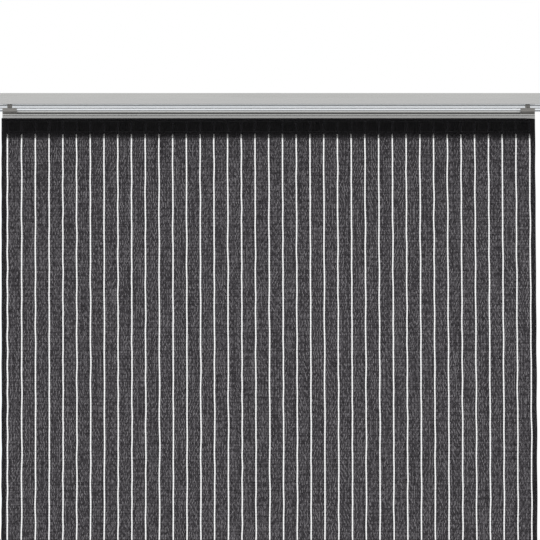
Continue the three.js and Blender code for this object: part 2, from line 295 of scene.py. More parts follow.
fade = math_node(floor_paint, "MULTIPLY", fade, sees_white)
glow = add_node(floor_paint, "ShaderNodeEmission", {"Color": WHITE, "Strength": 1.0})
show(floor_paint, mix_shaders(floor_paint, fade, paint.outputs[0], glow.outputs[0]))
floor.data.materials.append(floor_paint)
print(f"floor at {FLOOR_Z:.3f} m")

# %% [markdown]
# ## Anodised aluminium
# The track, the holder and the bottom bar are extruded aluminium with a satin anodised skin. The
# die leaves fine lines along the length, and the acid bath before anodising leaves a soft grain.
# Noise that is stretched hundreds of times along X gives the lines, and a second one with no
# direction gives the grain. Both work on the gloss and on a very shallow bump. A few slow patches
# of colour keep the long faces from looking painted.
#
# Much of the grey is painted light and shade. Inside the track's channels the front and rear ones
# are painted darker, as painted shade, and the middle one lighter, as a painted highlight, with a
# rougher skin there too. The track's underside is painted darker around the slots, as painted
# shade, and lighter on the strips between them, as a painted reflection of the daylight behind. The
# holder is painted darker on its face, in its grooves and inside its channel, as painted shade, and
# lighter on its lips and rib, as a painted highlight. Lists of (millimetres, grey) along Y and Z
# give each lip and groove its own grey.

# %% Aluminium and its greys
DRAWN_LINES, SLOW_PATCHES = (0.004, 3.0, 3.0), (0.01, 0.05, 0.05)
BATH_GRAIN = 4.0
LINE_DEPTH, BATH_GRAIN_DEPTH = 0.012, 0.006


def satin_aluminium(name, shade, roughness):
    material, shader = new_material(name)
    shader.inputs["Metallic"].default_value = 1.0
    lines = noise(material, place_in_mm(material, DRAWN_LINES), 1.0, 3)
    grain = noise(material, place_in_mm(material), BATH_GRAIN, 2)
    patches = noise(material, place_in_mm(material, SLOW_PATCHES), 1.0, 2)
    tone = add_node(material, "ShaderNodeMix", {0: 0.5, 2: lines, 3: patches}, data_type="FLOAT")
    tint(material, tone.outputs[0], [(0.35, scaled(shade, 0.95)), (0.65, scaled(shade, 1.07))])
    gloss = between(material, lines, roughness - 0.05, roughness + 0.05)
    feed(material, gloss, shader.inputs["Roughness"])
    fine = bump(material, grain, BATH_GRAIN_DEPTH, 0.5)
    feed(material, bump(material, lines, LINE_DEPTH, 0.6, fine), shader.inputs["Normal"])
    return material


def grey_by_place(material, axis, stops):
    """A grey that changes along an axis, from stops of (millimetres, grey)."""
    start, end = stops[0][0], stops[-1][0]
    split = add_node(material, "ShaderNodeSeparateXYZ", {"Vector": place_in_mm(material)})
    share = between(material, split.outputs[axis], 0, 1, (start, end))
    shades = [((place - start) / (end - start), (grey, grey, grey)) for place, grey in stops]
    return colours(material, share, shades)


def recolour(material, greys, blend, factor=1.0):
    """Mix greys over the colour that the surface has, or multiply it by them."""
    shader = material.node_tree.nodes["Principled BSDF"]
    colour = shader.inputs["Base Color"].links[0].from_socket
    feeds = {0: factor, 6: colour, 7: greys}
    mixed = add_node(material, "ShaderNodeMix", feeds, data_type="RGBA", blend_type=blend)
    feed(material, mixed.outputs[2], shader.inputs["Base Color"])


def roughen(material, share, roughness):
    """Where share is 1, give the surface this roughness in place of its own."""
    shader = material.node_tree.nodes["Principled BSDF"]
    feeds = {0: share, 2: shader.inputs["Roughness"].links[0].from_socket, 3: roughness}
    mixed = add_node(material, "ShaderNodeMix", feeds, data_type="FLOAT")
    feed(material, mixed.outputs[0], shader.inputs["Roughness"])

# %% The track
CHANNEL_HEIGHTS = [(-13.4, 0.0), (-13.2, 1.0), (-6.6, 1.0), (-6.2, 0.0)]
# Painted shade and light inside the track's channels: the front and rear ones darker, the middle
# one lighter.
CHANNEL_PAINTED_LIGHT_AND_SHADE = [
    (-30.2, 0.545), (-29.4, 0.30), (-11.0, 0.30), (-9.0, 0.90),
    (9.0, 0.90), (11.0, 0.25), (29.4, 0.25), (30.2, 0.545),
]
MIDDLE_CHANNEL = [(-10.0, 0.0), (-9.0, 1.0), (9.0, 1.0), (10.0, 0.0)]
# Painted shade and light on the track's underside: darker around the slots, and lighter on the
# strips between them as a painted reflection of the daylight behind.
UNDERSIDE = [(-13.4, 1.0), (-13.3, 0.0)]
UNDERSIDE_PAINTED_LIGHT_AND_SHADE = [
    (-30.0, 0.64), (-27.5, 0.64), (-26.0, 0.34), (-22.9, 0.34), (-17.1, 0.80), (-13.0, 0.74),
    (-11.0, 0.56), (-6.0, 0.56), (-5.0, 0.74), (16.0, 0.74), (23.0, 0.55),
]
DULL = 0.9

track_metal = satin_aluminium("satin aluminium, track", (0.545, 0.545, 0.54), 0.22)
inside = grey_by_place(track_metal, "Z", CHANNEL_HEIGHTS)
recolour(track_metal, grey_by_place(track_metal, "Y", CHANNEL_PAINTED_LIGHT_AND_SHADE), "MIX", inside)
middle = grey_by_place(track_metal, "Y", MIDDLE_CHANNEL)
roughen(track_metal, math_node(track_metal, "MULTIPLY", middle, inside), DULL)
underside = grey_by_place(track_metal, "Z", UNDERSIDE)
recolour(track_metal, grey_by_place(track_metal, "Y", UNDERSIDE_PAINTED_LIGHT_AND_SHADE), "MIX", underside)
dress(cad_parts["track_rail"], track_metal)
print("track: satin aluminium, dull inside its channels")

# %% The holder and the bar
# Painted shade and light on the holder, as multipliers by height: its face, the groove under the
# rib and the inside of its channel are painted darker, and its lips and rib lighter.
HOLDER_PAINTED_LIGHT_AND_SHADE = [
    (-51.3, 1.0), (-48.9, 1.0), (-48.7, 0.68), (-45.0, 0.60), (-27.1, 0.60), (-26.8, 0.76),
    (-25.9, 0.70), (-25.7, 0.20), (-25.3, 0.20), (-25.2, 1.0), (-23.9, 1.0), (-23.8, 0.20),
    (-21.2, 0.20), (-20.8, 0.14), (-20.5, 1.0), (-19.2, 1.0), (-19.0, 0.28),
]
holder_metal = satin_aluminium("satin aluminium, holder", (0.60, 0.60, 0.595), 0.38)
recolour(holder_metal, grey_by_place(holder_metal, "Z", HOLDER_PAINTED_LIGHT_AND_SHADE), "MULTIPLY")
for name in ("top_holder", "bottom_bar"):
    dress(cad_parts[name], holder_metal)
print("holder and bar: satin aluminium, darker in the holder's grooves")

# %% [markdown]
# ## Moulded plastic
# The end caps, ceiling clips, gliders and bar plugs are injection moulded. Their mould was spark
# eroded, which leaves an even, fine-grained surface of uneven gloss. A Voronoi pattern of about a
# quarter of a millimetre makes the grain, and a slow noise makes the faint clouds that moulded
# nylon shows. On the gliders a grey by height paints light and shade. The lower part of the block
# is painted darker, as painted shade under the holder's lip. The stem and the top of the block are
# painted lighter than the block's face, as a painted highlight.

# %% Plastics
MOULD_GRAIN, MOULD_GRAIN_DEPTH = 4.0, 0.02
CLOUDS = 0.12


def moulded_plastic(name, shade, roughness):
    material, shader = new_material(name)
    feeds = {"Vector": place_in_mm(material), "Scale": MOULD_GRAIN}
    distance = add_node(material, "ShaderNodeTexVoronoi", feeds).outputs["Distance"]
    clouds = noise(material, place_in_mm(material), CLOUDS, 3, 0.6)
    tint(material, clouds, [(0.35, scaled(shade, 0.96)), (0.65, scaled(shade, 1.04))])
    gloss = between(material, distance, roughness - 0.06, roughness + 0.08, (0, 0.6))
    feed(material, gloss, shader.inputs["Roughness"])
    relief = bump(material, distance, MOULD_GRAIN_DEPTH, 0.5)
    feed(material, relief, shader.inputs["Normal"])
    shader.inputs["Specular IOR Level"].default_value = 0.35
    return material


SATIN = 0.5
# Painted shade and light on the gliders by height: the block's lower part is painted darker, as
# shade under the holder's lip, and the stem above the block lighter, as a painted highlight.
GLIDER_PAINTED_LIGHT_AND_SHADE = [
    (-23.4, 0.88), (-22.4, 0.88), (-22.2, 0.46), (-21.2, 0.51),
    (-20.3, 0.51), (-19.9, 0.78), (-16.8, 0.78), (-16.5, 1.0),
]
dark_plastic = moulded_plastic("moulded plastic, grey", (0.27, 0.258, 0.24), SATIN)
glider_plastic = moulded_plastic("moulded plastic, glider", (0.437, 0.418, 0.389), SATIN)
recolour(glider_plastic, grey_by_place(glider_plastic, "Z", GLIDER_PAINTED_LIGHT_AND_SHADE), "MULTIPLY")
cap_plastic = moulded_plastic("moulded plastic, pale grey", (0.46, 0.465, 0.47), SATIN)
pale_pieces = ["track_end_cap_left", "track_end_cap_right"]
pale_pieces += ["ceiling_clip_left", "ceiling_clip_middle", "ceiling_clip_right"]
for name in pale_pieces:
    dress(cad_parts[name], cap_plastic)
for name in ("bottom_bar_cap_left", "bottom_bar_cap_right"):
    dress(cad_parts[name], dark_plastic)
print("moulded plastic on", len(pale_pieces) + 2, "pieces")

# %% [markdown]
# ## Helpers for modelling
# Operators act on whatever is selected. Each new piece therefore starts with nothing selected, and
# faces are picked in code by where they are. The modifiers are applied at once, so that the mesh
# holds the finished shape.

# %% Modelling helpers
def start_clean():
    if bpy.context.object and bpy.context.object.mode != "OBJECT":
        bpy.ops.object.mode_set(mode="OBJECT")
    bpy.ops.object.select_all(action="DESELECT")


def finish_place(piece):
    start_clean()
    piece.select_set(True)
    bpy.context.view_layer.objects.active = piece
    bpy.ops.object.transform_apply(location=True, rotation=True, scale=True)


def edit_only(piece, kind, chosen):
    """Go into edit mode with only the faces or edges in chosen selected."""
    start_clean()
    piece.select_set(True)
    bpy.context.view_layer.objects.active = piece
    bpy.ops.object.mode_set(mode="EDIT")
    bpy.ops.mesh.select_mode(type=kind)
    bpy.ops.mesh.select_all(action="DESELECT")
    bpy.ops.object.mode_set(mode="OBJECT")
    parts = piece.data.polygons if kind == "FACE" else piece.data.edges
    parts.foreach_set("select", np.asarray(chosen, bool))
    bpy.ops.object.mode_set(mode="EDIT")


def apply_modifier(piece, kind, **settings):
    start_clean()
    piece.select_set(True)
    bpy.context.view_layer.objects.active = piece
    modifier = piece.modifiers.new(kind.lower(), kind)
    for name, value in settings.items():
        setattr(modifier, name, value)
    bpy.ops.object.modifier_apply(modifier=modifier.name)


def repeat(piece, count, step):
    """Turn a piece into a row of copies of it, each one step further."""
    apply_modifier(
        piece, "ARRAY", count=count, use_relative_offset=False,
        use_constant_offset=True, constant_offset_displace=step)


def vertex_places(piece):
    places = np.empty(len(piece.data.vertices) * 3)
    piece.data.vertices.foreach_get("co", places)
    return places.reshape(-1, 3)


def set_vertex_places(piece, places):
    piece.data.vertices.foreach_set("co", places.ravel())
    piece.data.update()


def triangles(piece):
    return sum(len(polygon.vertices) - 2 for polygon in piece.data.polygons)

# %% [markdown]
# ## Gliders
# A glider is one moulded piece: a flat head that runs in the track's channel, a stem through the
# slot, a block, and a foot that the holder's channel grips. Every level of it is a rectangle, so it
# can be drawn upwards like a stack: a plane, then for each level an extrusion and a resize to the
# next rectangle. That keeps it one closed shell, and one Bevel modifier at the end rounds all the
# edges as a mould does.

# %% A shell from rectangles
def resize_to(rectangle, old):
    """Turn the selected rectangle, which is old, into the new one."""
    (x0, x1, y0, y1), (u0, u1, v0, v1) = rectangle, old
    middle_old = ((u0 + u1) / 2 * MM, (v0 + v1) / 2 * MM, 0)
    growth = ((x1 - x0) / (u1 - u0), (y1 - y0) / (v1 - v0), 1)
    bpy.ops.transform.resize(value=growth, center_override=middle_old)
    move = ((x0 + x1) / 2 * MM - middle_old[0], (y0 + y1) / 2 * MM - middle_old[1], 0)
    bpy.ops.transform.translate(value=move)


def rectangle_stack(name, levels):
    """A closed shell through levels of (height, (x0, x1, y0, y1)), in millimetres, going up."""
    start_clean()
    height, (x0, x1, y0, y1) = levels[0]
    middle = ((x0 + x1) / 2 * MM, (y0 + y1) / 2 * MM, height * MM)
    bpy.ops.mesh.primitive_plane_add(size=1, location=middle)
    piece = bpy.context.active_object
    piece.name = name
    piece.scale = ((x1 - x0) * MM, (y1 - y0) * MM, 1)
    finish_place(piece)
    bpy.ops.object.mode_set(mode="EDIT")
    bpy.ops.mesh.select_all(action="SELECT")
    for (low, old), (high, rectangle) in zip(levels, levels[1:]):
        rise = (0, 0, (high - low) * MM)
        bpy.ops.mesh.extrude_region_move(TRANSFORM_OT_translate={"value": rise})
        if rectangle != old:
            resize_to(rectangle, old)
    bpy.ops.mesh.select_all(action="SELECT")
    bpy.ops.mesh.normals_make_consistent(inside=False)
    bpy.ops.object.mode_set(mode="OBJECT")
    return piece

# %% Gliders
ROUNDING = 0.35 * MM
FOOT_TOP, GROOVE_TOP, BLOCK_FLOOR_TOP = 5.9, 8.9, 9.6
ROOF_BELOW_TRACK, ROOF_HEIGHT, HEAD_HEIGHT = 3.0, 0.8, 4.2


def glider(name, node):
    """The glider at a CAD node, drawn in millimetres from that node's own corners."""
    low, high = (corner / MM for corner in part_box(node))
    rail_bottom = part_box("track_rail")[0].z / MM
    x, y = (low.x + high.x) / 2, (low.y + high.y) / 2

    def section(half_length, front, rear):
        return (x - half_length, x + half_length, y - front, y + rear)

    foot, front_groove = section(8.1, 2.7, 2.7), section(8.1, 1.9, 2.7)
    block_floor, block = section(8.1, 4.4, 2.7), section(8.1, 4.4, 1.9)
    block_roof = section(8.1, 4.4, 3.1)
    stem, head = section(2.7, 2.6, 2.6), section(8.0, 6.0, 6.0)
    roof_top, head_bottom = rail_bottom - ROOF_BELOW_TRACK, high.z - HEAD_HEIGHT
    roof_bottom = roof_top - ROOF_HEIGHT
    levels = []
    for bottom, top, shape in (
        (low.z, low.z + FOOT_TOP, foot),
        (low.z + FOOT_TOP, low.z + GROOVE_TOP, front_groove),
        (low.z + GROOVE_TOP, low.z + BLOCK_FLOOR_TOP, block_floor),
        (low.z + BLOCK_FLOOR_TOP, roof_bottom, block),
        (roof_bottom, roof_top, block_roof),
        (roof_top, head_bottom, stem),
        (head_bottom, high.z, head),
    ):
        levels += [(bottom, shape), (top, shape)]
    piece = rectangle_stack(name, levels)
    apply_modifier(
        piece, "BEVEL", width=ROUNDING, segments=2,
        limit_method="ANGLE", angle_limit=math.radians(40))
    bpy.ops.object.shade_smooth_by_angle(angle=math.radians(35))
    dress(piece, glider_plastic)
    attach(piece, "panel")
    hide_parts(node)
    return piece


for side in ("left", "right"):
    piece = glider(f"moulded_glider_{side}", f"glider_{side}")
    print(piece.name, triangles(piece), "triangles")

# %% [markdown]
# ## The shape of the hanging cloth
# Cloth that hangs from a straight holder with a bar in its hem is nearly flat, but never quite: it
# bows in and out by a millimetre or two, and each strip wanders a little sideways because the yarn
# between the slits was drawn in by hand. The same functions give the cloth's surface and the
# threads that cross the slits, so both stay together. The waves die out at the top and at the hem,
# where the stitches lie. They have fixed seeds, so the cloth hangs the same way every time.

# %% Waves of the cloth
random = np.random.default_rng(39)
slit_centres = (np.arange(SLIT_COUNT) - (SLIT_COUNT - 1) / 2) * SLIT_PITCH
wander_phase = random.uniform(0, 2 * math.pi, (SLIT_COUNT + 2, 4))
wander_length = random.uniform(22, 90, (SLIT_COUNT + 2, 4)) * MM
wander_size = np.array([0.10, 0.11, 0.10, 0.09]) * MM
SIDE_DRIFT, DRIFT_LENGTH, SWAY_LENGTH = 1.3 * MM, 0.36, 0.9
BOWS = ((0.9, 0.21, 0.55, 0.6), (0.6, 0.083, -0.37, 2.1))


def ramp(distance, length):
    """0 up to the start, 1 from the length on, and even between."""
    return np.clip(distance / length, 0, 1)


def slack(z):
    """0 where the cloth is held, at its top and at its hem, and 1 between."""
    return ramp(tape_low.z - z, 0.10) * ramp(z - SEAM_TOP, 0.15)


def depth_wave(x, z):
    """How far the cloth bows towards the room or away from it.

    Each bow has a size in millimetres, a length across and down in metres, and a phase.
    """
    slow = sum(size * np.sin(x / wide + z / long + phase) for size, wide, long, phase in BOWS)
    return slow * MM * slack(z)


def side_drift(z):
    """The whole cloth hangs a little to the right of plumb below its holder."""
    sway = 0.5 + 0.5 * np.cos((CLOTH_TOP - z - DRIFT_LENGTH) / SWAY_LENGTH)
    return SIDE_DRIFT * ramp(CLOTH_TOP - z, DRIFT_LENGTH) * sway


def wander(index, z):
    """Sideways wander of one slit, index 0 and the last being the outer edges."""
    waves = np.sin(z[..., None] / wander_length[index] * 2 * math.pi + wander_phase[index])
    return (waves * wander_size).sum(-1) * ramp(CLOTH_TOP - z, 0.05) * ramp(z - SEAM_TOP, 0.02)


print(f"slits from {SLIT_TOP:.4f} m to {SEAM_TOP:.4f} m")

# %% [markdown]
# ## The open-work cloth
# The cloth is a sheet of 40 strips with a slit between each two. The slits are real openings: a
# picture of slits on a flat sheet would show no daylight and no shadow. It starts as a grid with
# columns where the strips begin and end and rows from the top edge down the front, round the bar
# and up the back of the hem. The faces in the slits are deleted, and Solidify gives the sheet its
# thickness, less at the strips' edges, so each strip is slightly crowned, and more in the two
# cords of each selvage.

# %% Columns and rows of the cloth
THICKEST, STRIP_MIDDLE, STRIP_EDGE = 1.35, 1.0, 0.6
SELVAGE = ((0, 0.7), (0.75, THICKEST), (1.85, 0.75), (2.95, THICKEST), (4.0, 0.9))
ROWS_WITH_SLITS = 334
HEM_HALF_DEPTH, BACK_LAYER = 2.7 * MM, 0.98 * MM


def cloth_columns():
    """Columns of (X, slit that it wanders with, thickness, whether a slit opens after it)."""
    half = SLIT_WIDTH / 2
    columns = []
    for place, thick in SELVAGE:
        columns.append((-CLOTH_HALF_WIDTH + place * MM, 0, thick, False))
    columns.append((slit_centres[0] - half, 1, STRIP_EDGE, True))
    for i in range(SLIT_COUNT - 1):
        columns.append((slit_centres[i] + half, i + 1, STRIP_EDGE, False))
        middle = (slit_centres[i] + slit_centres[i + 1]) / 2
        columns.append((middle, i + 1.5, STRIP_MIDDLE, False))
        columns.append((slit_centres[i + 1] - half, i + 2, STRIP_EDGE, True))
    columns.append((slit_centres[-1] + half, SLIT_COUNT, STRIP_EDGE, False))
    for place, thick in reversed(SELVAGE):
        columns.append((CLOTH_HALF_WIDTH - place * MM, SLIT_COUNT + 1, thick, False))
    return columns


def cloth_rows():
    """Rows of (depth behind the cloth's middle, height) down the front, round the bar and up."""
    plain = [(0, CLOTH_TOP + 0.6 * MM), (0, CLOTH_TOP - 1.4 * MM)]
    plain += [(0, z) for z in np.linspace(SLIT_TOP, SEAM_TOP, ROWS_WITH_SLITS)]
    shoulder, bottom = bar_top + 0.3 * MM, CLOTH_BOTTOM + 0.4 * MM
    front = [(-0.25 * MM, SEAM_TOP - 2 * MM), (-0.9 * MM, SEAM_TOP - 5 * MM)]
    front += [(-2.2 * MM, shoulder + 3 * MM)]
    front += [(-HEM_HALF_DEPTH, z) for z in np.linspace(shoulder, bottom + 2.2 * MM, 5)]
    front += [(-2.1 * MM, bottom + 0.7 * MM), (-1.1 * MM, bottom + 0.1 * MM), (0, bottom)]
    back = [(-depth, height) for depth, height in reversed(front[:-1])]
    back[-2:] = [(1.05 * MM, SEAM_TOP - 4 * MM), (BACK_LAYER, SEAM_TOP - 1 * MM)]
    back += [(1.0 * MM, SEAM_TOP + TURNED_PAST_SEAM)]
    return plain + front + back, len(plain)


columns = cloth_columns()
rows, plain_rows = cloth_rows()
print(len(columns), "columns and", len(rows), "rows")

# %% Cloth mesh
EDGE_SPREAD_IN_MM, CORNER_DROOP_IN_MM = 0.9, 0.7


def cloth_grid():
    """The grid, with the number of each vertex's column and row."""
    start_clean()
    bpy.ops.mesh.primitive_grid_add(
        x_subdivisions=len(columns) - 1, y_subdivisions=len(rows) - 1, size=2)
    piece = bpy.context.active_object
    piece.name = "open_work_cloth"
    places = vertex_places(piece)
    across = np.rint((places[:, 0] + 1) / 2 * (len(columns) - 1)).astype(int)
    down = np.rint((1 - places[:, 1]) / 2 * (len(rows) - 1)).astype(int)
    return piece, across, down


cloth, across, down = cloth_grid()
column_x = np.array([c[0] for c in columns])[across]
column_slit = np.array([c[1] for c in columns])[across]
row_depth = np.array([r[0] for r in rows])[down]
row_z = np.array([r[1] for r in rows])[down]
nearest = np.floor(column_slit).astype(int)
between_slits = column_slit - nearest
next_one = np.minimum(nearest + 1, SLIT_COUNT + 1)
sideways = wander(nearest, row_z) * (1 - between_slits) + wander(next_one, row_z) * between_slits
spread_at_left_edge = ramp(-column_x - 0.285, 0.015) * EDGE_SPREAD_IN_MM * MM
x = column_x + sideways + side_drift(row_z) - spread_at_left_edge
y = CLOTH_Y + row_depth + depth_wave(column_x, row_z)
near_top = ramp(row_z - CLOTH_TOP + 0.02, 0.02)
droop_at_corner = ramp(column_x - 0.28, 0.02) ** 2 * CORNER_DROOP_IN_MM * MM * near_top
set_vertex_places(cloth, np.column_stack([x, y, row_z - droop_at_corner]))

group = cloth.vertex_groups.new(name="thickness")
for index, column in enumerate(columns):
    group.add(np.flatnonzero(across == index).tolist(), column[2] / THICKEST, "REPLACE")
print(len(cloth.data.vertices), "vertices in the grid")

# %% Slits
opens_after = np.array([c[3] for c in columns])
FIRST_SLIT_ROW = 2


def in_slit(polygon):
    corners = list(polygon.vertices)
    column, row = across[corners].min(), down[corners].min()
    return opens_after[column] and FIRST_SLIT_ROW <= row < plain_rows - 1


slit_faces = [in_slit(polygon) for polygon in cloth.data.polygons]
edit_only(cloth, "FACE", slit_faces)
bpy.ops.mesh.delete(type="FACE")
bpy.ops.object.mode_set(mode="OBJECT")
print(sum(slit_faces), "faces removed for", SLIT_COUNT, "slits")

# %% Thickness of the cloth
apply_modifier(
    cloth, "SOLIDIFY", thickness=CLOTH_THICKNESS * THICKEST, offset=0,
    vertex_group="thickness", use_rim=True)
bpy.ops.object.shade_smooth_by_angle(angle=math.radians(40))
print(cloth.name, triangles(cloth), "triangles")

# %% [markdown]
# ## The yarn
# Seen close up, the cloth is thick black warp yarn bound by fine weft. Light gets through it in
# short upright slots between the yarns, about a millimetre wide and nearly three long. The loom
# repeats its pattern every eight millimetres, but never exactly. So the cloth is divided into
# cells, one for each slot, and white noise says how open each is: partly by its place in the
# repeat, and partly at random. A slot beside an open one is tighter, some weft rows lie looser
# than others, and a slow wobble keeps the yarns from being ruler straight.
#
# Three shaders make the cloth up. A dark, hardly glossy one is the yarn. A Translucent one is the
# daylight that filters through the loose weave without showing what is behind. A Transparent one
# is the finest pinholes, where the background itself shows. The cells say how much of each there
# is. There is less light in the middle of a yarn, at the strips' edges, where the yarn is packed
# closer, and in the selvages, and a touch less where a weft thread runs behind. The same ridges
# raise the yarns in a bump.

# %% Cells of the weave
WEAVE_REPEAT = 8.1
CELLS_IN_REPEAT = 3.0
REPEATS_THAT_LAST = 3
REPEATING_SHARE = 0.68
YARN_PITCH = 1.13
WOBBLE = 2.4
black_yarn, yarn = new_material("black open-work cloth")
where = place_in_mm(black_yarn)
split = add_node(black_yarn, "ShaderNodeSeparateXYZ", {"Vector": where})
x, z = split.outputs["X"], split.outputs["Z"]


def calc(operation, *values):
    return math_node(black_yarn, operation, *values)


wavy_x = calc("MULTIPLY_ADD", noise(black_yarn, where, 0.16, 1), WOBBLE, x)


def random_cell(*place):
    """White noise from 0 to 1, the same everywhere in one cell."""
    vector = add_node(black_yarn, "ShaderNodeCombineXYZ", dict(enumerate(place))).outputs[0]
    return add_node(black_yarn, "ShaderNodeTexWhiteNoise", {"Vector": vector}).outputs["Value"]


def openings(beside):
    """How open the cell at this point is, or the one that many yarns beside it.

    It repeats up the cloth, but only for a few repeats.
    """
    column = calc("FLOOR", calc("MULTIPLY_ADD", wavy_x, 1 / YARN_PITCH, beside))
    start = calc("MULTIPLY", random_cell(column, 0.0, 3.0), CELLS_IN_REPEAT)
    cell = calc("FLOOR", calc("MULTIPLY_ADD", z, CELLS_IN_REPEAT / WEAVE_REPEAT, start))
    stretch = calc("FLOOR", calc("DIVIDE", cell, REPEATS_THAT_LAST * CELLS_IN_REPEAT))
    repeating = random_cell(column, calc("FLOORED_MODULO", cell, CELLS_IN_REPEAT), stretch)
    single = calc("MULTIPLY", random_cell(column, cell, 0.5), 1 - REPEATING_SHARE)
    return calc("MULTIPLY_ADD", repeating, REPEATING_SHARE, single)


print(f"cells {YARN_PITCH} mm wide and {WEAVE_REPEAT / CELLS_IN_REPEAT:.1f} mm high")

# %% How open each cell is
TIGHTER_BESIDE, LOOSER_ROWS = -0.30, 0.70
neighbours = calc("ADD", openings(-1.0), openings(1.0))
slots = calc("MULTIPLY_ADD", neighbours, TIGHTER_BESIDE, openings(0.0))
weft_rows = noise(black_yarn, place_in_mm(black_yarn, (0.06, 0, 0.40)), 1.0, 1)
slots = calc("MULTIPLY_ADD", weft_rows, LOOSER_ROWS, slots)
filtering = between(black_yarn, slots, 0.33, 0.685, (0.235, 0.865))
pinholes = between(black_yarn, slots, 0.0, 0.18, (0.525, 0.925))
print("openness of the cells:", len(black_yarn.node_tree.nodes), "nodes so far")

# %% Where less light gets through
WEFT_SHADE = -0.05
PITCH_IN_MM = SLIT_PITCH / MM
across_strip = calc("PINGPONG", calc("ADD", x, PITCH_IN_MM * 100), PITCH_IN_MM / 2)
from_edge = between(black_yarn, across_strip, 0.82, 1.0, (0.8, 2.0))
selvage = between(black_yarn, calc("ABSOLUTE", x), 1.0, 0.45, (294.5, 296.0))
packed = calc("MULTIPLY", from_edge, selvage)

across_slot = calc("FRACT", calc("MULTIPLY", wavy_x, 1 / YARN_PITCH))
from_middle = calc("MULTIPLY_ADD", across_slot, 2.0, -1.0)
ridge = calc("MULTIPLY", from_middle, from_middle)
open_share = calc("MULTIPLY", calc("MULTIPLY_ADD", ridge, -0.9, 1.3), packed)

turns = calc("MULTIPLY_ADD", z, MM / THREAD_PITCH, -SLIT_TOP / THREAD_PITCH)
weft = calc("COSINE", calc("MULTIPLY", turns, 2 * math.pi))
open_share = calc("MULTIPLY", open_share, calc("MULTIPLY_ADD", weft, WEFT_SHADE, 1.0))
print("share of the light:", len(black_yarn.node_tree.nodes), "nodes so far")

# %% Yarn, filtered daylight and pinholes
relief = calc("MULTIPLY", ridge, calc("MULTIPLY_ADD", weft, 0.3, 0.7))
fuzz = noise(black_yarn, where, 2.5, 3)
tint(black_yarn, fuzz, [(0.3, (0.0125, 0.0118, 0.0122)), (0.7, (0.0185, 0.0176, 0.0181))])
yarn.inputs["Roughness"].default_value = 0.85
yarn.inputs["Specular IOR Level"].default_value = 0.06
cells_bump = bump(black_yarn, slots, 0.3, 0.5)
feed(black_yarn, bump(black_yarn, relief, 0.12, 0.7, cells_bump), yarn.inputs["Normal"])

filter_share = calc("MULTIPLY", filtering, open_share)
hole_share = calc("MULTIPLY", pinholes, open_share)
filtered = add_node(black_yarn, "ShaderNodeBsdfTranslucent", {"Color": (0.42, 0.405, 0.425, 1)})
clear = add_node(black_yarn, "ShaderNodeBsdfTransparent")
woven = mix_shaders(black_yarn, filter_share, yarn.outputs[0], filtered.outputs[0])
show(black_yarn, mix_shaders(black_yarn, hole_share, woven, clear.outputs[0]))
dress(cloth, black_yarn)
print("cloth material:", len(black_yarn.node_tree.nodes), "nodes")

# %% [markdown]
# ## Threads across the slits
# What keeps the strips together is the weft: a thin thread every three millimetres that runs from
# selvage to selvage and shows only where it crosses a slit. One thread is a thin three-sided rod,
# cut into lengths so that it can follow the bowing of the cloth. An Array makes the other
# rows, and the rows are then moved onto the cloth's surface, each a little off its level. About
# every third thread is heavier, which goes with the repeat of the weave.

# %% Weft threads
THREAD_RADIUS = 0.085 * MM
THREAD_INSET = 3 * MM
THREADS_IN_REPEAT, HEAVIER, REPEAT_DRIFT = 3, 0.65, 0.25
LEVEL_SPREAD, TILT_SPREAD = 0.10 * MM, 0.0006
thread_rows = int((SLIT_TOP - SEAM_TOP) / THREAD_PITCH) - 1


def thin_rod(name, sides, radius, length, cuts, place):
    """A rod along X, cut into cuts + 1 lengths."""
    start_clean()
    bpy.ops.mesh.primitive_cylinder_add(
        vertices=sides, radius=radius, depth=length, end_fill_type="NGON",
        location=place, rotation=(0, math.pi / 2, 0))
    rod = bpy.context.active_object
    rod.name = name
    finish_place(rod)
    x = vertex_places(rod)[:, 0]
    ends = [edge.vertices for edge in rod.data.edges]
    edit_only(rod, "EDGE", [abs(x[a] - x[b]) > length / 2 for a, b in ends])
    bpy.ops.mesh.subdivide(number_cuts=cuts)
    bpy.ops.object.mode_set(mode="OBJECT")
    return rod


thread_length = 2 * (CLOTH_HALF_WIDTH - THREAD_INSET)
first_place = (0, CLOTH_Y, SLIT_TOP - THREAD_PITCH)
threads = thin_rod("weft_threads", 3, THREAD_RADIUS, thread_length, 11, first_place)
one_thread = len(threads.data.vertices)
repeat(threads, thread_rows, (0, 0, -THREAD_PITCH))
places = vertex_places(threads)
row = np.arange(len(places)) // one_thread
level = random.normal(0, LEVEL_SPREAD, thread_rows)
tilt = random.normal(0, TILT_SPREAD, thread_rows)
drift = np.cumsum(random.normal(0, REPEAT_DRIFT, thread_rows))
turn = 2 * math.pi / THREADS_IN_REPEAT * np.arange(thread_rows) + drift
weight = 1 + HEAVIER * np.cos(turn)
thread_z = SLIT_TOP - THREAD_PITCH * (row + 1)
places[:, 1] = CLOTH_Y + (places[:, 1] - CLOTH_Y) * weight[row]
places[:, 2] = thread_z + (places[:, 2] - thread_z) * weight[row]
places[:, 1] += depth_wave(places[:, 0], places[:, 2])
places[:, 2] += level[row] + tilt[row] * places[:, 0]
set_vertex_places(threads, places)
print(threads.name, thread_rows, "threads,", triangles(threads), "triangles")

# %% Thread material
weft_yarn, thread = new_material("black thread")
feeds = {"Vector": place_in_mm(weft_yarn), "Scale": 1.1, "Distortion": 1.0}
twist = add_node(weft_yarn, "ShaderNodeTexWave", feeds, bands_direction="DIAGONAL").outputs["Fac"]
tint(weft_yarn, twist, [(0.2, (0.012, 0.012, 0.013)), (0.8, (0.03, 0.03, 0.032))])
feed(weft_yarn, bump(weft_yarn, twist, 0.05), thread.inputs["Normal"])
thread.inputs["Roughness"].default_value = 0.7
thread.inputs["Specular IOR Level"].default_value = 0.2
dress(threads, weft_yarn)
print("thread material:", len(weft_yarn.node_tree.nodes), "nodes")

